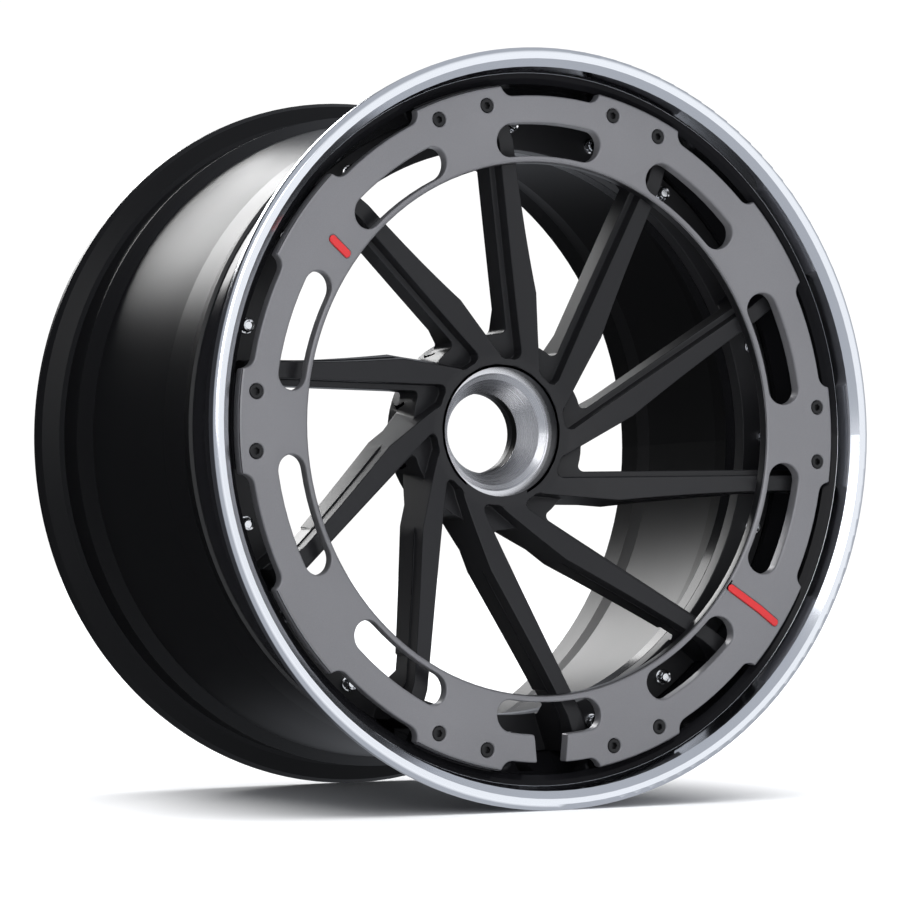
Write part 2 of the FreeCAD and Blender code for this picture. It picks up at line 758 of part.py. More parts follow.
def make_ring(bars):
    body = new_body("ring_blank")
    inner, bend, outer = rim("ring_inner_drop"), rim("ring_bend_drop"), rim("ring_drop")
    chamfer, thick = size("ring_chamfer"), size("ring_thickness")
    front, back = ring_face(Size.of(0)), ring_face(thick)
    slope = (front[0] - front[1]) / (bend - inner)
    revolve(body, "ring_turned", corners(
        (inner, at(front[0] + chamfer)),
        (inner + chamfer, at(front[0] - slope * chamfer)),
        (bend, at(front[1])),
        (outer - chamfer, at(front[1])),
        (outer, at(front[1] + chamfer)),
        (outer, at(back[1])),
        (bend, at(back[1])),
        (inner, at(back[0]))))
    deep = size("ring_inner_depth") + thick + size("cut_margin")
    origin = (Size.of(0), Size.of(0))

    slot = new_sketch(body, "slot_outline", "XZ_Plane", Size.of(0))
    pitch = Size.of(360) / size("spoke_count")
    half, mid = size("slot_width") / 2.0, rim("slot_drop")
    left, right = pitch - size("slot_half_angle"), pitch + size("slot_half_angle")
    caps = [cap_end(mid, left, -half), cap_end(mid, right, half)]
    draw(slot, [
        (polar(mid + half, left), mid + half, origin),
        (polar(mid + half, right), half, polar(mid, right)),
        (caps[1], half, polar(mid, right)),
        (polar(mid - half, right), mid - half, origin),
        (polar(mid - half, left), half, polar(mid, left)),
        (caps[0], half, polar(mid, left))])
    slots = cut(body, "slot", slot, deep)
    round_pattern(body, "slots", [slots], size("spoke_count"))

    notch = new_sketch(body, "notch_outline", "XZ_Plane", Size.of(0))
    low, mouth = size("notch_bottom_half_angle"), size("notch_mouth_half_angle")
    bottom, beyond = rim("notch_drop"), outer + size("cut_reach")
    curve = size("notch_round")
    draw(notch, [
        (polar(bottom, pitch - low), bottom, origin),
        (polar(bottom, pitch + low), curve, polar(bottom + curve, pitch + low)),
        (polar(outer, pitch + mouth),),
        (polar(beyond, pitch + mouth),),
        (polar(beyond, pitch - mouth),),
        (polar(outer, pitch - mouth), curve, polar(bottom + curve, pitch - low))])
    notches = cut(body, "notch", notch, deep)
    round_pattern(body, "notches", [notches], size("spoke_count"))

    gap = new_sketch(body, "valve_gap_outline", "XZ_Plane", Size.of(0))
    wide, narrow = size("valve_gap_inner") / 2.0, size("valve_gap_outer") / 2.0
    draw(gap, corners((wide, -mid), (narrow, -outer), (-narrow, -outer), (-wide, -mid)))
    cut(body, "valve_gap", gap, deep)

    heads = new_sketch(body, "screw_counterbores", "XZ_Plane", Size.of(0))
    shanks = new_sketch(body, "screw_holes", "XZ_Plane", Size.of(0))
    for spot in screw_spots():
        draw_circle(heads, spot, size("screw_head_radius") + size("bolt_clearance"))
        draw_circle(shanks, spot, size("screw_shank_radius") + size("bolt_clearance"))
    head_floor = size("ring_face_depth") + size("screw_recess") + size("screw_head_height")
    head_cut = cut(body, "screw_counterbore_cut", heads, head_floor)
    shank_cut = cut(body, "screw_hole_cut", shanks, deep)
    screw_pattern(body, "screw_holes", [head_cut, shank_cut])

    ring = boolean("Part::Cut", "ring_with_long_groove", body, bars[0])
    return boolean("Part::Cut", "front_ring", ring, bars[1])


def hexagon(radius, centre):
    points = []
    for corner in range(6):
        across, up = polar(radius, Size.of(60.0 * corner))
        points.append((centre[0] + across, centre[1] + up))
    return corners(*points)


def make_bolts():
    body = new_body("assembly_bolts")
    centre = (Size.of(0), rim("bolt_drop"))
    top = size("flange_face_depth") - size("bolt_head_height")
    head = new_sketch(body, "head_outline", "XZ_Plane", top)
    draw_circle(head, centre, size("bolt_head_radius"))
    head_pad = pad(body, "head", head, size("bolt_head_height"))
    shank = new_sketch(body, "shank_outline", "XZ_Plane", size("flange_face_depth"))
    draw_circle(shank, centre, size("bolt_shank_radius"))
    shank_pad = pad(body, "shank", shank, size("bolt_length"))
    round_pattern(body, "bolts", [head_pad, shank_pad], size("bolt_count"))
    return body


def make_nuts():
    body = new_body("assembly_nuts")
    centre = (Size.of(0), rim("bolt_drop"))
    outline = new_sketch(body, "nut_outline", "XZ_Plane", size("joint_depth"))
    draw(outline, hexagon(size("nut_radius"), centre))
    draw_circle(outline, centre, size("bolt_shank_radius"))
    nut = pad(body, "nut", outline, size("nut_height"))
    round_pattern(body, "nuts", [nut], size("bolt_count"))
    return body


def make_screws():
    body = new_body("ring_screws")
    top = size("ring_face_depth") + size("screw_recess")
    head = new_sketch(body, "head_outlines", "XZ_Plane", top)
    shank = new_sketch(body, "shank_outlines", "XZ_Plane", top + size("screw_head_height"))
    for spot in screw_spots():
        draw_circle(head, spot, size("screw_head_radius"))
        draw_circle(shank, spot, size("screw_shank_radius"))
    head_pad = pad(body, "heads", head, size("screw_head_height"))
    shank_pad = pad(body, "shanks", shank, size("screw_length"))
    screw_pattern(body, "screws", [head_pad, shank_pad])
    return body


bars = make_bars()
pieces = [
    make_lip(), make_barrel(), make_seal(), make_centre(), make_seat(), make_ring(bars),
    *bars, make_bolts(), make_nuts(), make_screws()]
doc.recompute()

for item in doc.Objects:
    if "Invalid" in item.State or "Error" in item.State:
        raise RuntimeError(f"{item.Label} failed: {item.State}")
for piece in pieces:
    if piece.Shape.isNull() or not piece.Shape.isValid():
        raise RuntimeError(f"{piece.Label} has no valid shape")

os.makedirs("parts", exist_ok=True)
for piece in pieces:
    piece.Shape.exportStep(f"parts/{piece.Label}.step")
    print(f"{piece.Label}: {len(piece.Shape.Solids)} solids, {piece.Shape.Volume / 1000.0:.1f} cm3")
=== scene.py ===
# %% [markdown]
# # A forged wheel in a white studio
#
# This wheel is bolted together: a front rim half with a polished edge, a rear barrel, a ten-spoke centre, and
# a slotted ring screwed on in front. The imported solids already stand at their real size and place. The lesson
# gives them broken edges and finishes, makes the bolts and screws in detail, and sets up a soft studio with
# the camera in front and to the left.

# %% Load the frame
import math

import bmesh
import bpy
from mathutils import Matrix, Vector


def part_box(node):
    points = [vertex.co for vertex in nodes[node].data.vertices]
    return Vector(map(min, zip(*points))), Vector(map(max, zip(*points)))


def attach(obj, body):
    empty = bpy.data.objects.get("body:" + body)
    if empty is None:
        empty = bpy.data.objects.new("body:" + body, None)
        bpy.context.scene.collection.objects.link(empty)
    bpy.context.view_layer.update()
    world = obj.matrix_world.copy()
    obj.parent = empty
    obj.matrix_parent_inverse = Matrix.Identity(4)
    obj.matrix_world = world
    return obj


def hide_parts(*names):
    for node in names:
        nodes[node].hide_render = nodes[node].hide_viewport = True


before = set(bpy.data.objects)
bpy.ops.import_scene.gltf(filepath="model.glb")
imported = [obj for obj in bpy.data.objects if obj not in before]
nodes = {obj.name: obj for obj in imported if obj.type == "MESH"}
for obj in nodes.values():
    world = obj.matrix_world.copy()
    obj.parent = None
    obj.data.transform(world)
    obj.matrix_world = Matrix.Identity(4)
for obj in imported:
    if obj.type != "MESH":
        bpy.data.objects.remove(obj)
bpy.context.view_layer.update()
MM = 0.001
print("solids:", ", ".join(sorted(nodes)))

# %% [markdown]
# ## Where things are
#
# The wheel spins about Y and faces -Y. A wheel maker counts depth from the edge of the rim, so this helper
# turns such a depth into Y. The edge circle lies one edge radius behind the foremost point of the lip.

# %% Depths behind the rim's edge
lip_low, lip_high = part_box("outer_lip")
EDGE_ROUND = 4.5 * MM
FLOOR = lip_low[2]


def behind_edge(depth_mm):
    """Y of a depth in millimetres behind the circle of the rim's edge."""
    return lip_low[1] + EDGE_ROUND + depth_mm * MM


print("rim radius", round(lip_high[0] / MM, 1), "mm, floor at", round(FLOOR / MM, 1), "mm")

# %% [markdown]
# ## Small node helpers
#
# Every finish reads Object coordinates, which for these pieces are the wheel's own metres. That keeps a grain
# at its real size on every piece, and it needs no unwrapping.

# %% Node helpers
def add_math(tree, operation, first, second=None):
    """Output of a maths node whose inputs are sockets or numbers."""
    node = tree.nodes.new("ShaderNodeMath")
    node.operation = operation
    for socket, value in zip(node.inputs, (first, second)):
        if isinstance(value, (int, float)):
            socket.default_value = value
        elif value is not None:
            tree.links.new(value, socket)
    return node.outputs[0]


def add_noise(tree, vector, scale, detail):
    node = tree.nodes.new("ShaderNodeTexNoise")
    node.inputs["Scale"].default_value = scale
    node.inputs["Detail"].default_value = detail
    tree.links.new(vector, node.inputs["Vector"])
    return node.outputs["Fac"]


def add_bump(tree, height, strength, distance):
    node = tree.nodes.new("ShaderNodeBump")
    node.inputs["Distance"].default_value = distance
    tree.links.new(height, node.inputs["Height"])
    tree.links.new(strength, node.inputs["Strength"])
    return node.outputs["Normal"]


def add_mix(tree, kind, factor, first, second):
    """Output of a mix node of floats or colours, by a factor socket. The two ends are numbers or sockets."""
    node = tree.nodes.new("ShaderNodeMix")
    node.data_type = kind
    ends = {"FLOAT": (2, 3), "RGBA": (6, 7)}[kind]
    tree.links.new(factor, node.inputs[0])
    for index, value in zip(ends, (first, second)):
        if isinstance(value, bpy.types.NodeSocket):
            tree.links.new(value, node.inputs[index])
        else:
            node.inputs[index].default_value = value
    return node.outputs[{"FLOAT": 0, "RGBA": 2}[kind]]


def object_place(tree):
    return tree.nodes.new("ShaderNodeTexCoord").outputs["Object"]


def object_axes(tree):
    node = tree.nodes.new("ShaderNodeSeparateXYZ")
    tree.links.new(object_place(tree), node.inputs[0])
    return node.outputs


def axle_distance(tree, axes):
    """Output with the distance of a surface point from the axle, which is the Y axis."""
    across = add_math(tree, "MULTIPLY", axes["X"], axes["X"])
    upward = add_math(tree, "MULTIPLY", axes["Z"], axes["Z"])
    return add_math(tree, "SQRT", add_math(tree, "ADD", across, upward))


def new_group(name, inputs, outputs):
    group = bpy.data.node_groups.new(name, "ShaderNodeTree")
    for label, kind in inputs:
        group.interface.new_socket(label, in_out="INPUT", socket_type=kind)
    for label, kind in outputs:
        group.interface.new_socket(label, in_out="OUTPUT", socket_type=kind)
    return group, group.nodes.new("NodeGroupInput").outputs, group.nodes.new("NodeGroupOutput").inputs


print("node helpers are ready, and lengths in their textures are in metres")

# %% [markdown]
# ## Sprayed paint
#
# Powder coat and satin paint are never quite even. A fine grain breaks up the highlight, and the film is a
# little glossier and darker in some places than in others. Several pieces share this, so it is one node group
# with its own inputs, and each material keeps its own shader.

# %% The paint's grain
FINE_GRAIN_SCALE = 2600.0
FINE_GRAIN_DETAIL = 3.0
FINE_GRAIN_HEIGHT = 0.08 * MM
SLOW_SCALE = 9.0
SLOW_DETAIL = 2.0
MIDDLE = 0.5
SLOW_TONE_SHARE = 0.25
SPECK_TONE_SHARE = 0.3
SLOW_GLOSS_SHARE = 0.12


def paint_grain_group():
    group, given, result = new_group(
        "paint_grain",
        (("Color", "NodeSocketColor"), ("Roughness", "NodeSocketFloat"), ("Grain", "NodeSocketFloat")),
        (("Color", "NodeSocketColor"), ("Roughness", "NodeSocketFloat"), ("Normal", "NodeSocketVector")))
    place = object_place(group)
    fine = add_noise(group, place, FINE_GRAIN_SCALE, FINE_GRAIN_DETAIL)
    slow = add_math(group, "SUBTRACT", add_noise(group, place, SLOW_SCALE, SLOW_DETAIL), MIDDLE)
    speck = add_math(group, "SUBTRACT", fine, MIDDLE)
    tone = add_math(group, "ADD", add_math(group, "MULTIPLY", slow, SLOW_TONE_SHARE), 1.0)
    tone = add_math(group, "ADD", tone, add_math(group, "MULTIPLY", speck, SPECK_TONE_SHARE))
    tinted = group.nodes.new("ShaderNodeVectorMath")
    tinted.operation = "SCALE"
    group.links.new(given["Color"], tinted.inputs[0])
    group.links.new(tone, tinted.inputs["Scale"])
    group.links.new(tinted.outputs[0], result["Color"])
    gloss = add_math(group, "ADD", given["Roughness"], add_math(group, "MULTIPLY", slow, SLOW_GLOSS_SHARE))
    group.links.new(gloss, result["Roughness"])
    group.links.new(add_bump(group, fine, given["Grain"], FINE_GRAIN_HEIGHT), result["Normal"])
    return group


PAINT_GRAIN = paint_grain_group()
print("made", PAINT_GRAIN.name)

# %% [markdown]
# ## Turned metal
#
# Metal from a lathe keeps fine marks that run in circles about the axle. The radius and the depth are enough
# to draw them: a noise that reads only those two is the same all the way round.

# %% The lathe's marks
MARK_SCALE = 2200.0
MARK_DETAIL = 3.0
MARK_HEIGHT = 0.03 * MM
MARK_GLOSS_SHARE = 0.4


def turning_marks_group():
    group, given, result = new_group(
        "turning_marks",
        (("Roughness", "NodeSocketFloat"), ("Depth", "NodeSocketFloat")),
        (("Roughness", "NodeSocketFloat"), ("Normal", "NodeSocketVector")))
    axes = object_axes(group)
    turned = group.nodes.new("ShaderNodeCombineXYZ")
    group.links.new(axle_distance(group, axes), turned.inputs["X"])
    group.links.new(axes["Y"], turned.inputs["Y"])
    marks = add_noise(group, turned.outputs[0], MARK_SCALE, MARK_DETAIL)
    spread = add_math(group, "MULTIPLY", add_math(group, "SUBTRACT", marks, MIDDLE), given["Depth"])
    rough = add_math(group, "ADD", given["Roughness"], add_math(group, "MULTIPLY", spread, MARK_GLOSS_SHARE))
    group.links.new(rough, result["Roughness"])
    group.links.new(add_bump(group, marks, given["Depth"], MARK_HEIGHT), result["Normal"])
    return group


TURNING_MARKS = turning_marks_group()
print("made", TURNING_MARKS.name)

# %% [markdown]
# ## Finishes
#
# Painted pieces differ in colour, gloss and grain. The lip carries two finishes that meet at one depth, as
# they do when a painted piece is put back on the lathe. The cone seat is turned metal in front of one depth
# and near-black behind it, in its bore, and that near-black is painted shade. One function makes both of them:
# a mask on the depth blends colour, metal and gloss. Each shader stays in its own material, and what is the
# same all over a piece is set on the shader itself.

# %% Paint and bare metal
COAT_GLOSS = 0.25


def new_material(name):
    material = bpy.data.materials.new(name)
    material.use_nodes = True
    tree = material.node_tree
    return material, tree, tree.nodes["Principled BSDF"].inputs


def place_group(tree, group, **values):
    node = tree.nodes.new("ShaderNodeGroup")
    node.node_tree = group
    for label, value in values.items():
        if isinstance(value, bpy.types.NodeSocket):
            tree.links.new(value, node.inputs[label])
        else:
            node.inputs[label].default_value = value
    return node.outputs


def paint(name, color, roughness, metallic=0.0, coat=0.0, shine=0.5, grain=0.06):
    material, tree, shader = new_material(name)
    grained = place_group(tree, PAINT_GRAIN, Color=(*color, 1.0), Roughness=roughness, Grain=grain)
    tree.links.new(grained["Color"], shader["Base Color"])
    tree.links.new(grained["Roughness"], shader["Roughness"])
    tree.links.new(grained["Normal"], shader["Normal"])
    shader["Metallic"].default_value = metallic
    shader["Coat Weight"].default_value = coat
    shader["Coat Roughness"].default_value = COAT_GLOSS
    shader["Specular IOR Level"].default_value = shine
    return material


def bare_metal(name, color, roughness, depth):
    material, tree, shader = new_material(name)
    turned = place_group(tree, TURNING_MARKS, Roughness=roughness, Depth=depth)
    tree.links.new(turned["Roughness"], shader["Roughness"])
    tree.links.new(turned["Normal"], shader["Normal"])
    shader["Base Color"].default_value = (*color, 1.0)
    shader["Metallic"].default_value = 1.0
    return material


print("paint and bare metal are ready")

# %% Metal in front of black paint and of painted shade
BEHIND_GRAIN = 0.03
BEHIND_SHINE = 0.1
ACROSS_THE_MARKS = 0.25


def metal_before_paint_and_shade(
        name, meeting_depth, metal_color, metal_gloss, paint_and_shade_color, paint_gloss, depth, brushed):
    """Turned metal in front of a depth, and a near-black colour behind it: black paint on the lip, painted
    shade in the seat's bore. Highlights stretch across the lathe's marks.
    """
    material, tree, shader = new_material(name)
    behind = add_math(tree, "GREATER_THAN", object_axes(tree)["Y"], behind_edge(meeting_depth))
    grained = place_group(
        tree, PAINT_GRAIN, Color=(*paint_and_shade_color, 1.0), Roughness=paint_gloss, Grain=BEHIND_GRAIN)
    turned = place_group(tree, TURNING_MARKS, Roughness=metal_gloss, Depth=depth)
    # Behind the meeting depth the colour is black paint on the lip and painted shade in the seat's bore.
    color = add_mix(tree, "RGBA", behind, (*metal_color, 1.0), grained["Color"])
    rough = add_mix(tree, "FLOAT", behind, turned["Roughness"], grained["Roughness"])
    tree.links.new(color, shader["Base Color"])
    tree.links.new(rough, shader["Roughness"])
    tree.links.new(add_math(tree, "SUBTRACT", 1.0, behind), shader["Metallic"])
    tree.links.new(turned["Normal"], shader["Normal"])
    shader["Anisotropic"].default_value = brushed
    shader["Anisotropic Rotation"].default_value = ACROSS_THE_MARKS
    shader["Specular IOR Level"].default_value = BEHIND_SHINE
    tangent = tree.nodes.new("ShaderNodeTangent")
    tangent.direction_type = "RADIAL"
    tangent.axis = "Y"
    tree.links.new(tangent.outputs[0], shader["Tangent"])
    return material


print("metal in front of paint is ready")

# %% [markdown]
# ## The front ring
#
# The ring is satin grey in front, and its inner wall is coloured near-black as painted shade, which makes the
# edge look thin. A second piece could carry the painted shade, but the wall is simply what lies nearer to the
# axle than the broken edge, so a mask on the distance from the axle tells the two apart.

# %% Grey ring with painted shade on its inner wall
RING_WALL_RADIUS = 193.0 * MM
RING_GREY = (0.178, 0.177, 0.187, 1.0)
# Near-black painted shade for the ring's inner wall, which stands in for the dark gap behind a thin edge.
RING_WALL_PAINTED_SHADE = (0.008, 0.008, 0.009, 1.0)


def ring_paint_and_shade(name, roughness, metallic, grain):
    material, tree, shader = new_material(name)
    front = add_math(tree, "GREATER_THAN", axle_distance(tree, object_axes(tree)), RING_WALL_RADIUS)
    color = add_mix(tree, "RGBA", front, RING_WALL_PAINTED_SHADE, RING_GREY)
    grained = place_group(tree, PAINT_GRAIN, Color=color, Roughness=roughness, Grain=grain)
    tree.links.new(grained["Color"], shader["Base Color"])
    tree.links.new(grained["Roughness"], shader["Roughness"])
    tree.links.new(grained["Normal"], shader["Normal"])
    tree.links.new(add_math(tree, "MULTIPLY", front, metallic), shader["Metallic"])
    return material


satin_grey = ring_paint_and_shade("satin_grey", 0.36, 0.4, 0.06)
print("made", satin_grey.name)

# %% [markdown]
# ## Which finish goes where
#
# Each solid gets one material. The lip's metal ends at a step behind its edge, and the seat's metal ends
# where its bore begins; the bore is coloured near-black, as painted shade. Both depths, in millimetres, are
# those of the solids.

# %% One finish for each solid
LIP_STEP_DEPTH = 13.05
SEAT_BORE_DEPTH = 109.1

red = paint("red", (0.52, 0.012, 0.015), 0.34, coat=0.1, grain=0.02)
bright_steel = bare_metal("bright_steel", (0.80, 0.81, 0.83), 0.16, 0.15)
finishes = {
    "outer_lip": metal_before_paint_and_shade("polished_lip", LIP_STEP_DEPTH, (0.86, 0.88, 0.92), 0.13,
                                    (0.006, 0.006, 0.007), 0.12, 0.10, 0.0),
    "inner_barrel": paint("satin_black", (0.004, 0.004, 0.0045), 0.34, shine=0.16, grain=0.08),
    "rim_seal": paint("sealant", (0.02, 0.02, 0.02), 0.6, grain=0.2),
    "wheel_centre": paint("charcoal", (0.013, 0.013, 0.0145), 0.38, shine=0.28, grain=0.08),
    # The cone seat's near-black bore is painted shade.
    "centre_seat": metal_before_paint_and_shade("turned_seat_and_painted_shade", SEAT_BORE_DEPTH, (0.74, 0.74, 0.76), 0.26,
                                      (0.006, 0.006, 0.006), 0.4, 0.6, 0.8),
    "front_ring": satin_grey,
    "accent_bar_long": red,
    "accent_bar_short": red,
    "assembly_bolts": bright_steel,
    "assembly_nuts": bright_steel,
    "ring_screws": paint("black_steel", (0.012, 0.012, 0.013), 0.3, metallic=0.5, grain=0.04),
}
print("finishes:", len(finishes))

# %% [markdown]
# ## Edges of the solids
#
# A milled edge is never a knife edge: it is broken with a file or a chamfer, and that thin bright line tells
# the eye what the piece is made of. Flat triangles are first merged into whole faces, so that the bevel runs
# along true edges only, and weighted normals keep the large faces flat. Turned pieces need no bevel: their
# profiles are already round, so an edge split keeps their corners crisp.

# %% Dress the solids
EDGE_WIDTHS = {"wheel_centre": 0.8, "front_ring": 1.3, "accent_bar_long": 0.8, "accent_bar_short": 0.8}
CRISP_ANGLE = math.radians(28)
BEVEL_ANGLE = math.radians(32)
FLAT_ANGLE = math.radians(0.6)
WELD_DISTANCE = 0.01 * MM
BEVEL_SEGMENTS = 2
LARGE_FACE_WEIGHT = 100
SAME_SIZE = 0.02


def break_edges(node, width_mm):
    weld = node.modifiers.new("weld", "WELD")
    weld.merge_threshold = WELD_DISTANCE
    whole = node.modifiers.new("whole_faces", "DECIMATE")
    whole.decimate_type = "DISSOLVE"
    whole.angle_limit = FLAT_ANGLE
    bevel = node.modifiers.new("broken_edges", "BEVEL")
    bevel.width = width_mm * MM
    bevel.segments = BEVEL_SEGMENTS
    bevel.limit_method = "ANGLE"
    bevel.angle_limit = BEVEL_ANGLE
    bevel.use_clamp_overlap = False
    weighted = node.modifiers.new("flat_faces", "WEIGHTED_NORMAL")
    weighted.weight = LARGE_FACE_WEIGHT
    weighted.thresh = SAME_SIZE


def keep_corners(node):
    split = node.modifiers.new("crisp_corners", "EDGE_SPLIT")
    split.split_angle = CRISP_ANGLE


for label, node in nodes.items():
    node.data.materials.clear()
    node.data.materials.append(finishes[label])
    node.data.polygons.foreach_set("use_smooth", [True] * len(node.data.polygons))
    if label in EDGE_WIDTHS:
        break_edges(node, EDGE_WIDTHS[label])
    else:
        keep_corners(node)
print("broken edges on", ", ".join(EDGE_WIDTHS))

# %% [markdown]
# ## One bolt and one screw
#
# The rim bolts have a twelve-point head on a round flange, and the ring's screws a round head with a hexagon
# socket. Both are stacks of outlines about their own axis, joined by walls. The solids are plain there, so
# these two patterns will replace them.

# %% Outlines about the Y axis
def circle_outline(radius, depth, count, dent=0.0):
    """Points of a circle that looks along Y. With a dent, every other point is drawn in by that share."""
    points = []
    for index in range(count):
        reach = radius * (1.0 - dent * (index % 2))
        angle = math.tau * index / count
        points.append(Vector((reach * math.sin(angle), depth, reach * math.cos(angle))))
    return points


def hexagon_outline(radius, depth, count):
    """Points of a hexagon that looks along Y, evenly spread in angle."""
    sixth = math.pi / 3.0
    points = []
    for index in range(count):
        angle = math.tau * index / count
        reach = radius * math.cos(sixth / 2.0) / math.cos(angle % sixth - sixth / 2.0)
        points.append(Vector((reach * math.sin(angle), depth, reach * math.cos(angle))))
    return points


def stack_walls(shape, outlines):
    """Walls between outlines of equal length, in order, closed at both ends."""
    loops = [[shape.verts.new(point) for point in outline] for outline in outlines]
    for lower, upper in zip(loops, loops[1:]):
        count = len(lower)
        for index in range(count):
            after = (index + 1) % count
            shape.faces.new((lower[index], lower[after], upper[after], upper[index]))
    shape.faces.new(loops[0][::-1])
    shape.faces.new(loops[-1])


def closed_mesh(name, shape):
    bmesh.ops.recalc_face_normals(shape, faces=shape.faces)
    mesh = bpy.data.meshes.new(name)
    shape.to_mesh(mesh)
    shape.free()
    return mesh


print("outlines of circles and hexagons are ready")

# %% The two fasteners
BOLT_HEAD_RADIUS = 6.0 * MM
BOLT_SHANK_RADIUS = 3.5 * MM
BOLT_LENGTH = 33.0 * MM
BOLT_HEAD_HEIGHT = 7.0 * MM
BOLT_POINTS = 24
SCREW_HEAD_RADIUS = 5.0 * MM
SCREW_HEAD_HEIGHT = 4.5 * MM
SCREW_SHANK_RADIUS = 3.0 * MM
SCREW_END = 20.5 * MM
SOCKET_RADIUS = 2.7 * MM
SOCKET_DEPTH = 3.0 * MM
SCREW_POINTS = 36


def bolt_mesh():
    """Bolt with its seat at the origin: a dished star head in front, its flange and a plain shank."""
    shape = bmesh.new()
    head, top = BOLT_HEAD_RADIUS, -BOLT_HEAD_HEIGHT
    neck = 2.2 * MM
    stack_walls(shape, [
        circle_outline(head * 0.42, top + 1.0 * MM, BOLT_POINTS),
        circle_outline(head * 0.50, top + 0.4 * MM, BOLT_POINTS),
        circle_outline(head * 0.70, top, BOLT_POINTS, 0.04),
        circle_outline(head * 0.84, top + 0.6 * MM, BOLT_POINTS, 0.12),
        circle_outline(head * 0.84, -neck, BOLT_POINTS, 0.12),
        circle_outline(head * 0.80, -neck + 0.2 * MM, BOLT_POINTS)])
    stack_walls(shape, [
        circle_outline(head * 0.78, -neck, BOLT_POINTS),
        circle_outline(head * 0.96, -neck + 0.4 * MM, BOLT_POINTS),
        circle_outline(head, -neck + 1.0 * MM, BOLT_POINTS),
        circle_outline(head, -0.1 * MM, BOLT_POINTS),
        circle_outline(head * 0.98, 0.0, BOLT_POINTS),
        circle_outline(BOLT_SHANK_RADIUS, 0.0, BOLT_POINTS),
        circle_outline(BOLT_SHANK_RADIUS, BOLT_LENGTH - 0.6 * MM, BOLT_POINTS),
        circle_outline(BOLT_SHANK_RADIUS * 0.8, BOLT_LENGTH, BOLT_POINTS)])
    return closed_mesh("bolt_pattern", shape)


def screw_mesh():
    """Screw with the top of its head at the origin."""
    shape = bmesh.new()
    head = SCREW_HEAD_RADIUS
    stack_walls(shape, [
        hexagon_outline(SOCKET_RADIUS, SOCKET_DEPTH, SCREW_POINTS),
        hexagon_outline(SOCKET_RADIUS, 0.25 * MM, SCREW_POINTS),
        circle_outline(SOCKET_RADIUS * 1.22, 0.0, SCREW_POINTS),
        circle_outline(head - 0.6 * MM, 0.0, SCREW_POINTS),
        circle_outline(head - 0.15 * MM, 0.2 * MM, SCREW_POINTS),
        circle_outline(head, 0.7 * MM, SCREW_POINTS),
        circle_outline(head, SCREW_HEAD_HEIGHT, SCREW_POINTS),
        circle_outline(SCREW_SHANK_RADIUS, SCREW_HEAD_HEIGHT, SCREW_POINTS),
        circle_outline(SCREW_SHANK_RADIUS, SCREW_END, SCREW_POINTS)])
    return closed_mesh("screw_pattern", shape)


bolt, screw = bolt_mesh(), screw_mesh()
print("faces of a bolt and a screw:", len(bolt.polygons), len(screw.polygons))

# %% [markdown]
# ## Copies round the wheel
#
# Fasteners on a wheel follow one rule: so many copies on a circle, from a first angle on, a fixed step apart.
# A Geometry Nodes tree holds that rule with named inputs, so bolts and screws share it. Each copy is turned a
# little further than the last, because nobody tightens every screw to the same angle.

# %% The tree of copies
COPY_INPUTS = (
    ("Pattern", "NodeSocketObject"),
    ("Finish", "NodeSocketMaterial"),
    ("Count", "NodeSocketInt"),
    ("Circle", "NodeSocketFloat"),
    ("Depth", "NodeSocketFloat"),
    ("First", "NodeSocketFloat"),
    ("Step", "NodeSocketFloat"),
    ("Twist", "NodeSocketFloat"))


def copies_on_a_circle():
    """Tree that sets copies of a pattern on a circle about Y, with angles counted from +Z towards +X."""
    tree = bpy.data.node_groups.new("copies_on_a_circle", "GeometryNodeTree")
    sockets = {}
    tree.interface.new_socket("Geometry", in_out="INPUT", socket_type="NodeSocketGeometry")
    for label, kind in COPY_INPUTS:
        sockets[label] = tree.interface.new_socket(label, in_out="INPUT", socket_type=kind).identifier
    tree.interface.new_socket("Geometry", in_out="OUTPUT", socket_type="NodeSocketGeometry")
    given = tree.nodes.new("NodeGroupInput").outputs
    index = tree.nodes.new("GeometryNodeInputIndex").outputs[0]
    angle = add_math(tree, "ADD", given["First"], add_math(tree, "MULTIPLY", index, given["Step"]))
    place = tree.nodes.new("ShaderNodeCombineXYZ")
    for axis, wave in (("X", "SINE"), ("Z", "COSINE")):
        offset = add_math(tree, "MULTIPLY", given["Circle"], add_math(tree, wave, angle))
        tree.links.new(offset, place.inputs[axis])
    tree.links.new(given["Depth"], place.inputs["Y"])
    turn = tree.nodes.new("ShaderNodeCombineXYZ")
    twist = add_math(tree, "MULTIPLY", index, given["Twist"])
    tree.links.new(add_math(tree, "ADD", angle, twist), turn.inputs["Y"])
    points = tree.nodes.new("GeometryNodePoints")
    tree.links.new(given["Count"], points.inputs["Count"])
    tree.links.new(place.outputs[0], points.inputs["Position"])
    source = tree.nodes.new("GeometryNodeObjectInfo")
    tree.links.new(given["Pattern"], source.inputs["Object"])
    spread = tree.nodes.new("GeometryNodeInstanceOnPoints")
    tree.links.new(points.outputs[0], spread.inputs["Points"])
    tree.links.new(source.outputs["Geometry"], spread.inputs["Instance"])
    tree.links.new(turn.outputs[0], spread.inputs["Rotation"])
    real = tree.nodes.new("GeometryNodeRealizeInstances")
    tree.links.new(spread.outputs[0], real.inputs[0])
    finish = tree.nodes.new("GeometryNodeSetMaterial")
    tree.links.new(real.outputs[0], finish.inputs["Geometry"])
    tree.links.new(given["Finish"], finish.inputs["Material"])
    tree.links.new(finish.outputs[0], tree.nodes.new("NodeGroupOutput").inputs[0])
    return tree, sockets


COPIES, COPY_SOCKETS = copies_on_a_circle()
print("inputs:", ", ".join(COPY_SOCKETS))


# %% Plain meshes from the tree
def link(item):
    bpy.context.scene.collection.objects.link(item)
    return item


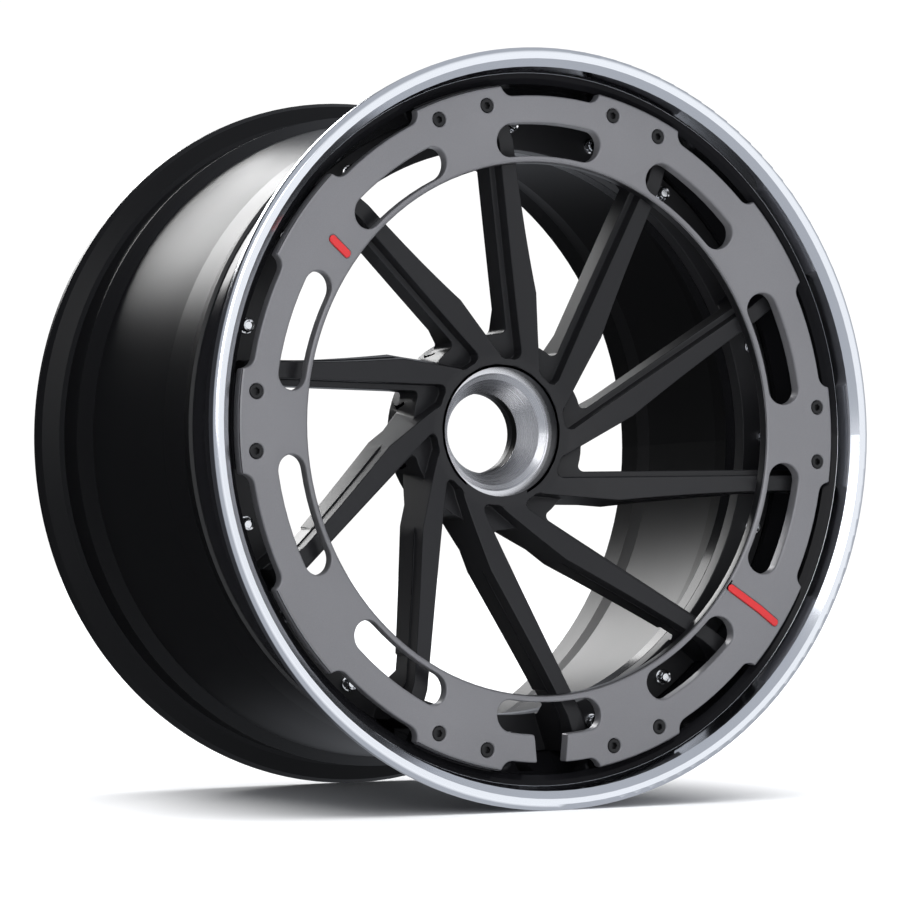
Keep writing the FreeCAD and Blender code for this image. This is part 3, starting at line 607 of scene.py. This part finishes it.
def copied_mesh(pattern_mesh, **values):
    """Plain mesh of all copies, with nothing of the tree left behind."""
    pattern = link(bpy.data.objects.new("pattern", pattern_mesh))
    carrier = link(bpy.data.objects.new("carrier", bpy.data.meshes.new("carrier")))
    modifier = carrier.modifiers.new("copies", "NODES")
    modifier.node_group = COPIES
    modifier[COPY_SOCKETS["Pattern"]] = pattern
    for label, value in values.items():
        modifier[COPY_SOCKETS[label]] = value
    evaluated = carrier.evaluated_get(bpy.context.evaluated_depsgraph_get())
    mesh = bpy.data.meshes.new_from_object(evaluated)
    carrier.modifiers.remove(modifier)
    bpy.data.objects.remove(carrier)
    bpy.data.objects.remove(pattern)
    return mesh


def joined_piece(name, meshes, finish):
    """One object from several meshes, smooth with crisp corners."""
    shape = bmesh.new()
    for mesh in meshes:
        shape.from_mesh(mesh)
    whole = bpy.data.meshes.new(name)
    shape.to_mesh(whole)
    shape.free()
    whole.materials.append(finish)
    whole.polygons.foreach_set("use_smooth", [True] * len(whole.polygons))
    whole.set_sharp_from_angle(angle=CRISP_ANGLE)
    print(name, "has", len(whole.polygons), "faces")
    return link(bpy.data.objects.new(name, whole))


# %% [markdown]
# ## Bolts and screws in place
#
# Twenty bolts hold the centre to the rim, one in the middle of each spoke end and one between. The ring has
# twelve screws in pairs, a pair in each of six gaps between its slots: three gaps in step on one side, and
# the same three again half a turn on.

# %% Set the fasteners
BOLT_COUNT = 20
BOLT_CIRCLE = 226.6 * MM
SCREW_CIRCLE = 236.1 * MM
SCREW_PAIR_HALF_ANGLE = math.radians(5.0)
GAP_STEP = math.radians(72.0)
FIRST_GAPS = (math.radians(18.0), math.radians(198.0))
GAPS_IN_STEP = 3
BOLT_TWIST = 0.7
SCREW_TWIST = 0.37

bolt_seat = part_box("assembly_bolts")[0][1] + BOLT_HEAD_HEIGHT
bolts = joined_piece("rim_bolts", [copied_mesh(
    bolt, Finish=bright_steel, Count=BOLT_COUNT, Circle=BOLT_CIRCLE, Depth=bolt_seat,
    First=0.0, Step=math.tau / BOLT_COUNT, Twist=BOLT_TWIST)], bright_steel)
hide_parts("assembly_bolts")
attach(bolts, "root")

screw_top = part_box("ring_screws")[0][1]
screw_meshes = []
for first_gap in FIRST_GAPS:
    for side in (-1, 1):
        screw_meshes.append(copied_mesh(
            screw, Finish=finishes["ring_screws"], Count=GAPS_IN_STEP, Circle=SCREW_CIRCLE, Depth=screw_top,
            First=first_gap + side * SCREW_PAIR_HALF_ANGLE, Step=GAP_STEP, Twist=SCREW_TWIST * side))
screws = joined_piece("socket_screws", screw_meshes, finishes["ring_screws"])
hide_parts("ring_screws")
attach(screws, "root")
print("bolts at Y", round(bolt_seat / MM, 1), "mm, screw heads at Y", round(screw_top / MM, 1), "mm")

# %% [markdown]
# ## Studio
#
# Polished metal shows the room, and black paint shows only its lights. So the room glows in front, where the
# lip looks, and is dark on the far left, where the barrel looks. One broad light overhead gives the floor its
# shadow, a softbox on the left lights the ring, and another behind draws the long highlight on the barrel.
# The backdrop is plain white from every side, and the floor is kept out of reflections, so that black stays
# black.

# %% Floor and room
VIEW_TURN = 0.5089
BEHIND = Vector((math.sin(VIEW_TURN), math.cos(VIEW_TURN), 0.0))
ROOM_GREY = (0.42, 0.44, 0.48, 1.0)
ROOM_DARK = (0.035, 0.036, 0.04, 1.0)
WHITE = (1.0, 1.0, 1.0, 1.0)
ASIDE = Vector((-0.6, 0.8, 0.0))
DARK_RANGE = (0.42, 0.66)
GLOW_AXIS = Vector((math.sin(VIEW_TURN), -math.cos(VIEW_TURN), 0.0))
GLOW_RANGE = (0.60, 0.97)
GLOW_TONE = (0.95, 0.97, 1.0, 1.0)
ROOM_STRENGTH = 1.05
FLOOR_SIZE = 60.0
FLOOR_TONES = (0.92, 0.94)
FLOOR_PATCH_SCALE = 1.5


def make_floor():
    bpy.ops.mesh.primitive_plane_add(size=FLOOR_SIZE, location=(0.0, 0.0, FLOOR))
    floor = bpy.context.object
    floor.name = "studio_floor"
    material, tree, shader = new_material("studio_floor")
    tone = tree.nodes.new("ShaderNodeMapRange")
    tone.inputs["To Min"].default_value, tone.inputs["To Max"].default_value = FLOOR_TONES
    tree.links.new(add_noise(tree, object_place(tree), FLOOR_PATCH_SCALE, SLOW_DETAIL), tone.inputs["Value"])
    tree.links.new(tone.outputs[0], shader["Base Color"])
    shader["Roughness"].default_value = 0.9
    shader["Specular IOR Level"].default_value = 0.1
    floor.data.materials.append(material)
    floor.visible_glossy = False


def toward(tree, direction, axis, limits):
    """Share from 0 to 1, as the alignment of a direction with an axis goes from one limit to the other."""
    along = tree.nodes.new("ShaderNodeVectorMath")
    along.operation = "DOT_PRODUCT"
    along.inputs[1].default_value = axis
    tree.links.new(direction, along.inputs[0])
    share = tree.nodes.new("ShaderNodeMapRange")
    share.inputs["From Min"].default_value = limits[0]
    share.inputs["From Max"].default_value = limits[1]
    tree.links.new(along.outputs["Value"], share.inputs["Value"])
    return share.outputs[0]


def make_room():
    """Pale grey with a glow in front and a dark side. The backdrop itself is white."""
    world = bpy.data.worlds.new("studio")
    bpy.context.scene.world = world
    world.use_nodes = True
    tree = world.node_tree
    direction = tree.nodes.new("ShaderNodeTexCoord").outputs["Generated"]
    dark = toward(tree, direction, ASIDE, DARK_RANGE)
    glow = toward(tree, direction, GLOW_AXIS, GLOW_RANGE)
    room = add_mix(tree, "RGBA", glow, add_mix(tree, "RGBA", dark, ROOM_GREY, ROOM_DARK), GLOW_TONE)
    seen = tree.nodes.new("ShaderNodeLightPath").outputs["Is Camera Ray"]
    tone = add_mix(tree, "RGBA", seen, room, WHITE)
    background = tree.nodes["Background"].inputs
    background["Strength"].default_value = ROOM_STRENGTH
    tree.links.new(tone, background["Color"])


make_floor()
make_room()
print("the room glows towards", [round(value, 2) for value in GLOW_AXIS])


# %% Lights
def aim(name, data, place):
    """Lamp at a place, turned to the middle of the wheel."""
    lamp = link(bpy.data.objects.new(name, data))
    lamp.location = place
    lamp.rotation_euler = (-Vector(place)).to_track_quat("-Z", "Y").to_euler()
    return lamp


def softbox(name, place, wide, high, power):
    data = bpy.data.lights.new(name, "AREA")
    data.shape = "RECTANGLE"
    data.size = wide
    data.size_y = high
    data.energy = power
    aim(name, data, place)


def overhead(name, place, strength, spread):
    data = bpy.data.lights.new(name, "SUN")
    data.energy = strength
    data.angle = spread
    aim(name, data, place).visible_glossy = False


overhead("overhead", (0.05, -0.05, 2.6), 3.7, math.radians(70))
softbox("left_softbox", (-1.2, -2.8, 1.0), 2.0, 2.0, 24.0)
softbox("rear_softbox", (-0.15, 2.66, 1.36), 1.5, 0.8, 34.0)
print("lights:", len(bpy.data.lights))

# %% [markdown]
# ## Camera
#
# A long lens from a few metres away keeps the circles calm. The camera stands in front of the wheel and to
# its left, a little below the axle, and looks slightly up.

# %% Set the camera
CAMERA_PLACE = Vector((-1.16215, behind_edge(-1924.44), -0.0954))
LOOK_UP = 0.0353
LENS_MM = 125.12
SENSOR_MM = 36.0

camera = link(bpy.data.objects.new("camera", bpy.data.cameras.new("camera")))
camera.data.lens = LENS_MM
camera.data.sensor_width = SENSOR_MM
camera.location = CAMERA_PLACE
forward = BEHIND * math.cos(LOOK_UP) + Vector((0.0, 0.0, math.sin(LOOK_UP)))
camera.rotation_euler = forward.to_track_quat("-Z", "Y").to_euler()
bpy.context.scene.camera = camera
bpy.context.scene.view_settings.view_transform = "Standard"
print("camera at", [round(value, 3) for value in CAMERA_PLACE])
